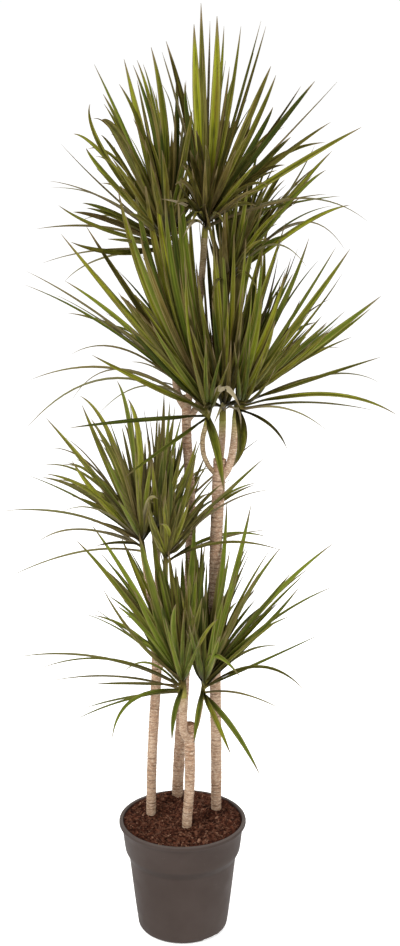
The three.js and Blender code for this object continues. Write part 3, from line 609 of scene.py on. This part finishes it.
def pot_material():
    n = Nodes(bpy.data.materials.new("pot_plastic"), POT_COLOURS)
    scuff = n.noise(60, 4, 0.7, distortion=1.5)
    height = n.node("SeparateXYZ", n.places["Object"]).outputs["Z"]
    step_shade = n.times(n.between(height, *STEP_SHADE["foot"]), n.between(height, *STEP_SHADE["top"]))
    n.base(n.spread(n.noise(9, 3, 0.6)), "dark", "light")
    n.over(n.times(n.between(scuff, 0.62, 0.78), 0.25), "wear_and_lip_light")
    # painted shade: a dark band across the step, where less light reaches
    n.over(n.times(step_shade, 0.3), "step_shade")
    # painted light: the lip's top lighter, in the colour that also marks the scuffs
    n.over(n.between(height, *LIP_LIGHT, 0.0, 0.6), "wear_and_lip_light")
    return n.finish(n.spread(n.noise(24, 3), 0.52, 0.64), n.noise(1400, 2, 0.6), 0.00012, 0.35, 0.1)


def soil_material(name, palette):
    """tone tells how pale a bit of bark is."""
    n = Nodes(bpy.data.materials.new(name), palette)
    coarse, fine = n.noise(130, 4, 0.65), n.noise(620, 3, 0.7)
    n.base(n.between(coarse, 0.35, 0.68), "dark", "light")
    n.over(n.between(fine, 0.6, 0.78), "fleck")
    n.over(n.value("tone"), n.mix(n.spread(fine), "fleck", "light"))
    return n.finish(n.spread(fine, 0.72, 0.95), n.math("ADD", coarse, n.times(fine, 0.5)), 0.0014, 0.9, 0.03)


def bark_material(name, dark):
    """ring, end, olive, lime and warm tell a leaf scar, a cut face, and the tints of a stem."""
    n = Nodes(bpy.data.materials.new(name), BARK_COLOURS)
    flat = n.node("Mapping", n.places["Object"])
    flat.inputs["Scale"].default_value = (1, 1, 2.8)
    flat = flat.outputs[0]
    patch = n.noise(42, 3, 0.6)
    blotch = n.noise(90, 3, 0.6, at=flat)
    flake = n.noise(185, 2, 0.6, at=flat, distortion=0.5)
    speck = n.noise(380, 3, 0.65, at=flat)
    cracks = n.between(flake, 0.4, 0.6)
    n.base(n.between(patch, 0.36, 0.62), "mid", "pale")
    n.over(n.times(n.value("warm"), n.between(patch, 0.62, 0.4, 0.5, 1.0)), "warm")
    n.over(n.between(blotch, 0.52, 0.42, 0.0, 0.8), "mid")
    n.over(n.between(flake, 0.5, 0.66, 0.0, 0.8), "crust")
    n.over(n.between(flake, 0.45, 0.34, 0.0, 0.55), "deep")
    n.over(n.between(speck, 0.56, 0.7, 0.0, 0.4), "deep")
    n.over(n.times(n.value("ring"), n.between(blotch, 0.42, 0.62, dark, 0.4)), "ring")
    n.over(n.times(n.value("olive"), 0.8), n.mix(cracks, "olive", "olive_pale"))
    n.over(n.value("lime"), n.mix(blotch, "lime", "lime_pale"))
    n.over(n.value("end"), n.mix(cracks, "cut", "cut_dark"))
    height = n.math("ADD", flake, n.times(speck, 0.5))
    return n.finish(n.spread(speck, 0.6, 0.82), height, 0.0006, 0.35, 0.12)


def leaf_material():
    """across runs 0 to 1 over the blade, along 0 to 1 up it; bright, brown, grey and lot differ by leaf."""
    n = Nodes(bpy.data.materials.new("leaf"), LEAF_COLOURS)
    across, along, lot = n.value("across"), n.value("along"), n.value("lot")
    edge = n.math("ABSOLUTE", n.math("SUBTRACT", n.times(across, 2.0), 1.0))

    def streaks(wide, long, shift, detail):
        place = n.node("CombineXYZ", n.times(across, wide), n.times(along, long), n.times(lot, shift))
        return n.noise(1.0, detail, 0.6, at=place.outputs[0])

    broad = streaks(5.0, 2.2, 37.0, 2)
    fine = streaks(19.0, 5.0, 61.0, 3)
    patch = streaks(1.8, 8.0, 90.0, 3)
    warm = n.between(streaks(2.5, 3.0, 17.0, 2), 0.5, 0.68, 0.0, 0.6)
    bright = n.math("ADD", n.value("bright"), n.spread(patch, -0.12, 0.12))
    bright = n.math("ADD", bright, n.between(broad, 0.32, 0.68, -0.22, 0.22), clamp=True)
    brown = n.times(n.value("brown"), n.between(patch, 0.2, 0.7, 0.4, 1.0))
    n.base(n.between(bright, 0.0, 0.5), "shade", "green")
    n.over(n.between(bright, 0.5, 1.0), "lime")
    n.over(n.times(n.between(fine, 0.52, 0.72, 0.0, 0.6), n.between(bright, 0.0, 0.6, 0.2, 1.0)), "vein")
    n.over(n.between(fine, 0.45, 0.25, 0.0, 0.45), "shade")
    n.over(n.times(warm, n.between(bright, 0.0, 0.5, 0.3, 1.0)), "olive")
    n.over(n.between(lot, 0.45, 0.8, 0.0, 0.8), n.mix(bright, "cool", "fresh"))
    n.over(n.times(n.between(edge, 0.45, 0.8), n.between(bright, 0.2, 0.7, 0.05, 0.6)), "vein")
    n.over(n.times(n.between(edge, 0.72, 0.96), n.spread(patch, 0.3, 0.9)), "margin")
    n.over(n.times(n.between(edge, 0.3, 0.05), n.between(patch, 0.5, 0.7, 0.0, 0.6)), "rust")
    # painted shade: leaves darken towards their bases, where the insides of the heads lie in shade
    n.over(n.times(n.between(along, 0.42, 0.08), n.spread(broad, 0.5, 0.92)), "base_shade")
    n.over(brown, n.mix(n.between(fine, 0.42, 0.72), "rust", "straw"))
    n.over(n.value("grey"), "grey")
    n.over(n.between(n.math("ADD", along, n.times(patch, 0.12)), 0.9, 1.03), "withered")
    n.over(n.between(along, 0.045, 0.0, 0.0, 0.75), "clasp")
    n.over(n.between(n.noise(260, 2, 0.7), 0.7, 0.78, 0.0, 0.75), "rust")
    return n.finish(n.spread(fine, 0.38, 0.55), fine, 0.0003, 0.4, 0.02)


# ---- Camera, floor and light ----

def make_camera():
    data = bpy.data.cameras.new("camera")
    data.sensor_width = SENSOR
    data.lens = FOCAL / (2 * MIDDLE[1]) * SENSOR
    camera = bpy.data.objects.new("camera", data)
    camera.location = EYE * MM
    camera.rotation_euler = (math.pi / 2 - TILT, 0, 0)
    bpy.context.scene.collection.objects.link(camera)
    bpy.context.scene.camera = camera


def make_floor():
    n = Nodes(bpy.data.materials.new("floor_paint"), FLOOR)
    n.base(n.spread(n.noise(3, 2)), "dark", "light")
    material = n.finish(0.7, specular=0.2)
    shader = n.tree.nodes["Principled BSDF"].inputs
    n.link((1, 1, 1, 1), shader["Emission Color"])
    n.link(FLOOR["glow"], shader["Emission Strength"])
    verts = [(FLOOR["radius"] * c, FLOOR["radius"] * s, 0) for c, s in circle(FLOOR["sides"])]
    floor = make_object("floor", verts, [tuple(range(len(verts)))], material, smooth=False)
    floor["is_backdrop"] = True


def make_studio():
    n = Nodes(bpy.data.worlds.new("studio"))
    height = n.node("SeparateXYZ", n.places["Generated"]).outputs["Z"]
    background = n.tree.nodes["Background"].inputs
    n.link((1, 1, 1, 1), background["Color"])
    n.link(n.node("MapRange", height, *WALL).outputs[0], background["Strength"])
    bpy.context.scene.world = n.owner
    bpy.context.scene.view_settings.view_transform = "Standard"
    for name, (place, size, power) in LIGHTS.items():
        data = bpy.data.lights.new(name, "AREA")
        data.shape = "RECTANGLE"
        data.size, data.size_y = size
        data.energy = power
        light = bpy.data.objects.new(name, data)
        light.location = place
        light.rotation_euler = (LIT - Vector(place)).to_track_quat("-Z", "Y").to_euler()
        bpy.context.scene.collection.objects.link(light)


# ---- Pot ----

def make_cutter(outline, heights, material):
    verts = [(x, y, z) for z in heights for x, y in outline]
    return make_object("cutter", verts, ring_faces(2, len(outline)), material, smooth=False)


def cut(target, cutters):
    """Takes the cutters out of the target and deletes them."""
    for cutter in cutters:
        modifier = target.modifiers.new("cut", "BOOLEAN")
        modifier.operation = "DIFFERENCE"
        modifier.solver = "EXACT"
        modifier.object = cutter
    graph = bpy.context.evaluated_depsgraph_get()
    mesh = bpy.data.meshes.new_from_object(target.evaluated_get(graph))
    target.modifiers.clear()
    old = target.data
    target.data = mesh
    bpy.data.meshes.remove(old)
    mesh.name = target.name
    for cutter in cutters:
        data = cutter.data
        bpy.data.objects.remove(cutter)
        bpy.data.meshes.remove(data)


def make_pot():
    material = pot_material()
    pot = make_object("pot_shell", *lathe(POT_OUTLINE, POT_SIDES), material)
    cutters = []
    for c, s in circle(DRAIN["count"]):
        x, y, radius = DRAIN["circle"] * c, DRAIN["circle"] * s, DRAIN["radius"]
        hole = [(x + radius * u, y + radius * v) for u, v in circle(DRAIN["sides"])]
        cutters.append(make_cutter(hole, DRAIN["heights"], material))
    for i in range(NOTCH["count"]):
        a = math.radians(NOTCH["first"] + 360 * i / NOTCH["count"])
        out, side = np.array([math.cos(a), math.sin(a)]), np.array([-math.sin(a), math.cos(a)])
        box = [out * (NOTCH["circle"] + u * NOTCH["depth"]) + side * v * NOTCH["width"]
               for u, v in ((-0.5, -0.5), (0.5, -0.5), (0.5, 0.5), (-0.5, 0.5))]
        cutters.append(make_cutter(box, NOTCH["heights"], material))
    cut(pot, cutters)
    pot.data.shade_smooth()
    pot.data.set_sharp_from_angle(angle=math.radians(SHARP["pot"]))
    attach(pot, "root")
    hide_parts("pot")


# ---- Soil ----

def soil_height(x, y):
    """Height of the rough soil at a place, in mm."""
    r = math.hypot(x, y) / SOIL["radius"]
    level = SOIL["middle"] + (SOIL["edge"] - SOIL["middle"]) * r * r
    level += SOIL["heap"] * max(0, y / SOIL["radius"]) ** 2
    level -= SOIL["sink"] * max(0, r - SOIL["sink_from"]) ** 1.5
    p = Vector((x, y, 0))
    rough = sum(weight * noise.noise(p / size + Vector(shift)) for size, shift, weight in SOIL_NOISE)
    return level + SOIL["rough"] * rough


def make_soil():
    rings = SOIL["rings"]
    top = [(SOIL["radius"] * i / rings, None) for i in range(rings + 1)]
    verts, faces = lathe(top + SOIL_WALL, SOIL["sides"])
    verts = [(x, y, soil_height(x, y) if z is None else z) for x, y, z in verts]
    faces = [(face[0], *face[:0:-1]) for face in faces]  # this profile runs down, so they turn over
    material = soil_material("potting_soil", SOIL_COLOURS)
    soil = make_object("soil_bed", verts, faces, material, sharp=SHARP["soil"])
    point_values(soil, ["tone"], [[0.0]] * len(verts))
    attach(soil, "root")
    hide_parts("soil")


def make_chips():
    """Bits of bark and a few pale crumbs, half sunk in the soil, as one mesh."""
    draw = random.Random(CHIPS["seed"])
    (length, longer), (width, wider) = CHIPS["length"], CHIPS["width"]
    verts, faces, tones = [], [], []
    for _ in range(CHIPS["count"]):
        r = (SOIL["radius"] - CHIPS["from_wall"]) * math.sqrt(draw.random())
        a = draw.random() * 2 * math.pi
        x, y = r * math.cos(a), r * math.sin(a)
        big = draw.random() ** CHIPS["small"]
        broad = width + wider * big * draw.random()
        size = np.array([length + longer * big, broad, draw.uniform(*CHIPS["height"])])
        turn, lean, roll = draw.uniform(0, TURN), draw.gauss(0, CHIPS["lean"]), draw.gauss(0, CHIPS["lean"])
        pale = draw.random()
        jitter = [[draw.uniform(*CHIPS["corners"]) for _ in range(3)] for _ in CORNERS]
        if min(math.hypot(x - u, y - v) for u, v in CANE_FEET) < CHIPS["from_cane"]:
            continue
        low, middling, high = CHIPS["tones"]
        tone = low * (pale / CHIPS["dull"]) ** 2
        if pale > CHIPS["dull"]:
            tone = high if pale > CHIPS["pale"] else middling
        rotation = np.array(Euler((roll, lean, turn)).to_matrix())
        middle = np.array([x, y, soil_height(x, y) + CHIPS["lift"] * size[2]])
        faces += [tuple(len(verts) + i for i in face) for face in BOX]
        verts += [rotation @ (corner * part * size) + middle for corner, part in zip(CORNERS, jitter)]
        tones += [[tone]] * len(CORNERS)
    chips = make_object("bark_chips", verts, faces, soil_material("bark_chips", CHIP_COLOURS), smooth=False)
    point_values(chips, ["tone"], tones)
    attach(chips, "root")


# ---- Canes and shoots ----

def stem_mesh(name, rows, kind, seed, material, radius_at, olive, lime, low, high):
    """A round stem with leaf scars that wave a little round it, low to high orange-brown."""
    draw = random.Random(seed)
    sides, scar_step = kind["sides"], kind["scar_step"]
    _, length = catmull_rom(rows, 10)
    points, length = catmull_rom(rows, int(length / kind["step"]))
    count = len(points)
    along = np.linspace(0, length, count)
    tangent = unit(np.gradient(points, axis=0))
    across = unit(np.cross(np.array([0.0, 1.0, 0.0]), tangent))
    away = np.cross(tangent, across)
    scars, s = [], draw.uniform(*SCAR["first"]) * scar_step
    while s < length:
        tilt = draw.uniform(-1, 1) * scar_step * SCAR["tilt"]
        scars.append((s, tilt, draw.uniform(0, TURN), draw.uniform(*SCAR["deep"])))
        s += scar_step * draw.uniform(*SCAR["apart"])
    verts, marks = [], []
    for i in range(count):
        t = i / (count - 1)
        late = max(0.0, (t - TINTED_FROM) / (1 - TINTED_FROM))
        near = [scar for scar in scars if abs(scar[0] - along[i]) < scar_step]
        for a in np.linspace(0, 2 * math.pi, sides, endpoint=False):
            groove, swell = 0.0, 0.0
            for place, tilt, phase, deep in near:
                gap = (along[i] - (place + tilt * math.cos(a - phase))) / scar_step
                groove = max(groove, deep * math.exp(-(gap / SCAR["groove"]) ** 2))
                swell = max(swell, deep * math.exp(-((gap - SCAR["swell_at"]) / SCAR["swell"]) ** 2))
            c, s = math.cos(a), math.sin(a)
            lump = noise.noise(Vector((seed * 3.1 + c, s, along[i] / LUMP_SIZE)))
            wart = noise.noise(Vector((seed + 1.6 * c, 1.6 * s, along[i] / WART_SIZE)))
            r = radius_at(t) * (1 + LUMP * lump) + WART * wart
            r += kind["scar_depth"] * (SCAR["swell_height"] * swell - groove)
            verts.append(points[i] + across[i] * r * c + away[i] * r * s)
            marks.append((groove, lime * late ** 2, low + (high - low) * late, 0.0, olive))
    faces = ring_faces(count, sides)[:-1]
    for share, rise in kind["top"]:
        start = len(verts)
        faces += band(start - sides, start, sides)
        middle = points[-1] + tangent[-1] * rise
        verts += ring_points(middle, across[-1], away[-1], radius_at(1) * share, sides)
        marks += [(0.0, lime, high, kind["cut"], olive)] * sides
    faces.append(tuple(range(len(verts) - sides, len(verts))))
    stem = make_object(name, verts, faces, material, sharp=SHARP["stem"])
    point_values(stem, ("ring", "lime", "warm", "end", "olive"), marks)
    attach(stem, "root")
    return stem


def make_canes():
    material = bark_material("bark", CANE["dark"])
    for seed, (name, (rows, foot, top)) in enumerate(CANES.items(), CANE["seed"]):
        cane = stem_mesh(
            f"{name}_cane", rows, CANE, seed, material, lambda t: foot + (top - foot) * t,
            0.0, 0.0, *CANE_WARMTH[name],
        )
        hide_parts(f"cane_{name}")


def make_shoots():
    material = bark_material("young_bark", SHOOT["dark"])
    for seed, (name, (radius, rows)) in enumerate(SHOOTS.items(), SHOOT["seed"]):
        olive, lime = SHOOT_TINTS.get(name, SHOOT_TINT)
        warm = SHOOT_WARMTH * olive
        shoot = stem_mesh(
            f"{name}_shoot", rows, SHOOT, seed, material,
            lambda t: radius * (1 + FLARE * max(0.0, 1 - t / FLARE_SHARE) ** 2), olive, lime, warm, warm,
        )
        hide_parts(f"shoot_{name}")


# ---- Leaf heads ----

def leaf_base(foot, axis, tip):
    """Where a leaf leaves the stem: the steeper it rises, the higher."""
    from_foot = tip - foot
    rise = math.degrees(math.asin(from_foot[2] / np.linalg.norm(from_foot)))
    share = TIP["lowest"] + TIP["highest"] * float(np.interp(rise, *JOIN_AT))
    outward = unit(np.array([from_foot[0], from_foot[1], 0.0]))
    return foot + axis * TIP["height"] * share + outward * TIP["inset"], outward


def leaf_path(base, via, tip):
    """Points and directions at the stations of a curve that is at via half way."""
    middle = 2 * via - 0.5 * (base + tip)
    t = STATIONS[:, None]
    points = (1 - t) ** 2 * base + 2 * t * (1 - t) * middle + t ** 2 * tip
    along = unit(2 * (1 - t) * (middle - base) + 2 * t * (tip - middle))
    return points, along


def blade(points, along, outward, width, shown, draw):
    """Rings of eight points: a blade folded along its midrib, turned so that its shown width faces front."""
    count = len(points)
    level = unit(np.cross(np.array([0.0, 0.0, 1.0]), outward))
    facing = np.cross(unit(points - EYE), along)
    clear = np.linalg.norm(facing, axis=1, keepdims=True) > POINTED
    facing = np.where(clear, unit(facing), level)
    edge_on = unit(np.cross(along, facing))
    turn = math.acos(min(shown / width, 1.0))
    goals = [facing * math.cos(turn) + edge_on * math.sin(sign * turn) for sign in (-1, 1)]
    goal = max(goals, key=lambda goal: abs(float(np.cross(goal, along)[count // 2][2])))
    if float(np.dot(goal[count // 2], level)) < 0:
        goal = -goal
    wind = draw.gauss(0, TWIST) * STATIONS[:, None]
    blend = np.clip(STATIONS / TURNED_BY, 0, 1)[:, None]
    blend = blend * blend * (3 - 2 * blend)
    side = level * (1 - blend) + goal * blend
    side = unit(side - along * np.sum(side * along, axis=1, keepdims=True))
    face = np.cross(along, side)
    side, face = side * np.cos(wind) + face * np.sin(wind), face * np.cos(wind) - side * np.sin(wind)
    if float(face[count // 4][2]) < 0:
        side, face = -side, -face
    half = np.interp(STATIONS, *WIDTH_AT) * width / 2
    fold = np.interp(STATIONS, *FOLD_AT)
    thick = np.interp(STATIONS, *THICK_AT)
    wave = WAVE["height"] * np.sin(STATIONS * WAVE["turns"] + draw.uniform(0, TURN)) * (half / WAVE["width"])
    rings = np.empty((count, len(SECTION), 3))
    for k, (u, over) in enumerate(SECTION):
        keel = 0.5 * (1 - min(1, 2 * abs(u))) if over < 0 else 0.0
        flat = u * half * np.cos(fold)
        rise = abs(u) * half * np.sin(fold) + u * wave + over * thick * (0.5 - 0.2 * abs(u)) - keel * thick
        rings[:, k] = points + side * flat[:, None] + face * rise[:, None]
    return rings


def traced_leaf(foot, axis, length, place, width, shown, draw):
    """A leaf by its tip's pixel, the pixel half way along and its side."""
    px, py, via_x, via_y, side = place
    tip = tip_in_space(px, py, side, foot, length)
    tip[0] = min(max(tip[0], -SPREAD["across"]), SPREAD["across"])
    base, outward = leaf_base(foot, axis, tip)
    via = at_depth(via_x, via_y, base[1] + 0.5 * (tip[1] - base[1]))
    points, along = leaf_path(base, via, tip)
    return blade(points, along, outward, width, shown, draw)


def leaf_rows(text):
    """Rows of (tip x, tip y, via x, via y, side, width, tone)."""
    for *numbers, tone in zip(*[iter(text.split())] * 7):
        yield (*map(float, numbers), tone)


def fill_places(head, leaves, share, draw):
    """Places between neighbouring leaves that show, shorter than they are."""
    def bearing(row):
        return math.atan2(head[1] - row[1], row[0] - head[0])

    fan = sorted((row for row in leaves if row[6] != "wisp"), key=bearing)
    angle = [bearing(row) for row in fan]
    for _ in range(int(share * len(fan))):
        i = draw.randrange(len(fan) - 1)
        u, reach, side = draw.random(), draw.uniform(*FILL["reach"]), draw.uniform(*FILL["side"])
        low = min(angle[i], math.pi - angle[i + 1]) < FILL["lowest"]
        if low or angle[i + 1] - angle[i] > FILL["widest_gap"]:
            continue
        row = [(1 - u) * p + u * q for p, q in zip(fan[i][:4], fan[i + 1][:4])]
        place = [head[k % 2] + reach * (row[k] - head[k % 2]) for k in range(4)]
        yield (*place, side), reach


def hidden_leaf(k, foot, axis, length, shown, tips, draw):
    """Of some random leaves that point back, the one that the leaves in front hide best."""
    best = None
    for _ in range(HIDDEN["tries"]):
        share = (k + draw.random()) / HIDDEN["count"]
        rise = math.radians(HIDDEN["steepest"] + (HIDDEN["lowest"] - HIDDEN["steepest"]) * share)
        bearing = math.radians(90 + draw.uniform(-1, 1) * HIDDEN["spread"])
        reach = length * HIDDEN["length"] * draw.uniform(*HIDDEN["lengths"])
        outward = np.array([math.cos(bearing), math.sin(bearing), 0.0])
        tip = foot + reach * (outward * math.cos(rise) + np.array([0, 0, math.sin(rise)]))
        limit = [SPREAD["across"], SPREAD["depth"]]
        tip[:2] = np.clip(tip[:2], np.negative(limit), limit)
        base, outward = leaf_base(foot, axis, tip)
        via = 0.5 * (base + tip) + np.array([0, 0, HIDDEN["arch"] * reach * math.cos(rise)])
        points, along = leaf_path(base, via, tip)
        seen = max(np.min(np.linalg.norm(shown - pixel_of(p), axis=1)) for p in points[FREE])
        crowding = max(0.0, HIDDEN["apart"] - min(np.linalg.norm(other - tip) for other in tips))
        score = seen + HIDDEN["crowding"] * crowding
        if best is None or score < best[0]:
            best = score, points, along, outward
    return best[1:]


def head_blades(name, foot, axis, draw):
    """Every blade of one head: (rings, tone, lot)."""
    length, text = LEAVES[name]
    leaves = list(leaf_rows(text))
    head = pixel_of(foot + axis * TIP["aim"] * TIP["height"])
    lush = LUSH.get(name, USUAL_LUSH)
    blades = []
    for *place, noted, tone in leaves:
        upright = abs(place[0] - head[0]) < SLANT * (head[1] - place[1])
        shown = noted * SLIM["upright" if upright else "slanted"]
        rings = traced_leaf(foot, axis, length, place, max(shown, NARROWEST), shown, draw)
        blades.append((rings, tone, draw.random() ** lush))
    for place, reach in fill_places(head, leaves, FILL.get(name, FILL["usual"]), draw):
        width = draw.uniform(*FILL["width"])
        tone = draw.choice(FILL["tones"])
        shown = width * draw.uniform(*FILL["turned"])
        rings = traced_leaf(foot, axis, reach * length, place, width, shown, draw)
        blades.append((rings, tone, draw.random() ** lush))
    broad = [rings for rings, tone, _ in blades if tone not in ("wisp", "dry")]
    shown = np.array([pixel_of(ring[0]) for rings in broad for ring in rings[COVERING]])
    tips = [rings[-1][0] for rings in broad]
    for k in range(HIDDEN["count"]):
        points, along, outward = hidden_leaf(k, foot, axis, length, shown, tips, draw)
        tips.append(points[-1])
        tone = draw.choice(HIDDEN["tones"])
        width = draw.uniform(*HIDDEN["width"])
        rings = blade(points, along, outward, width, width * draw.uniform(*HIDDEN["turned"]), draw)
        blades.append((rings, tone, draw.random() ** lush))
    return blades


def make_heads():
    material = leaf_material()
    for seed, (name, (radius, rows)) in enumerate(SHOOTS.items(), HEAD_SEED):
        line, _ = catmull_rom(rows, SHOOT_POINTS)
        foot, axis = line[-1], unit(line[-1] - line[-2])
        lift, fade = PALER[name.split("_")[0]]
        verts, faces, marks = [], [], []
        for rings, tone, lot in head_blades(name, foot, axis, random.Random(seed)):
            faces += ring_faces(len(rings), len(SECTION), len(verts))
            verts += rings.reshape(-1, 3).tolist()
            bright, brown, grey = TONES[tone]
            bright = min(1.0, max(0.0, bright + BRIGHT_RANGE * (lot * 7 % 1 - 0.5) + lift))
            marks += [((u + 1) / 2, t, bright, brown, grey + fade, lot) for t in STATIONS for u, _ in SECTION]
        side = unit(np.cross(np.array([0.0, 1.0, 0.0]), axis))
        away = np.cross(axis, side)
        faces += ring_faces(len(TIP["levels"]), TIP["sides"], len(verts))
        for level in TIP["levels"]:
            r = radius + (TIP["radius"] - radius) * level if level < 1 else TIP["end"]
            centre = foot + axis * (TIP["gap"] + TIP["height"] * level)
            verts += [p.tolist() for p in ring_points(centre, side, away, r, TIP["sides"])]
            marks += [(j / TIP["sides"], TIP["along"] * level, *TIP["look"]) for j in range(TIP["sides"])]
        head = make_object(f"{name}_leaves", verts, faces, material, sharp=SHARP["leaf"])
        point_values(head, ("across", "along", "bright", "brown", "grey", "lot"), marks)
        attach(head, "root")
        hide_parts(f"leaves_{name}")


make_camera()
make_studio()
make_floor()
make_pot()
make_soil()
make_chips()
make_canes()
make_shoots()
make_heads()

boxes = {"cad": CAD_BOX, "visual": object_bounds()}
{key: [list(corner) for corner in box] for key, box in boxes.items()}
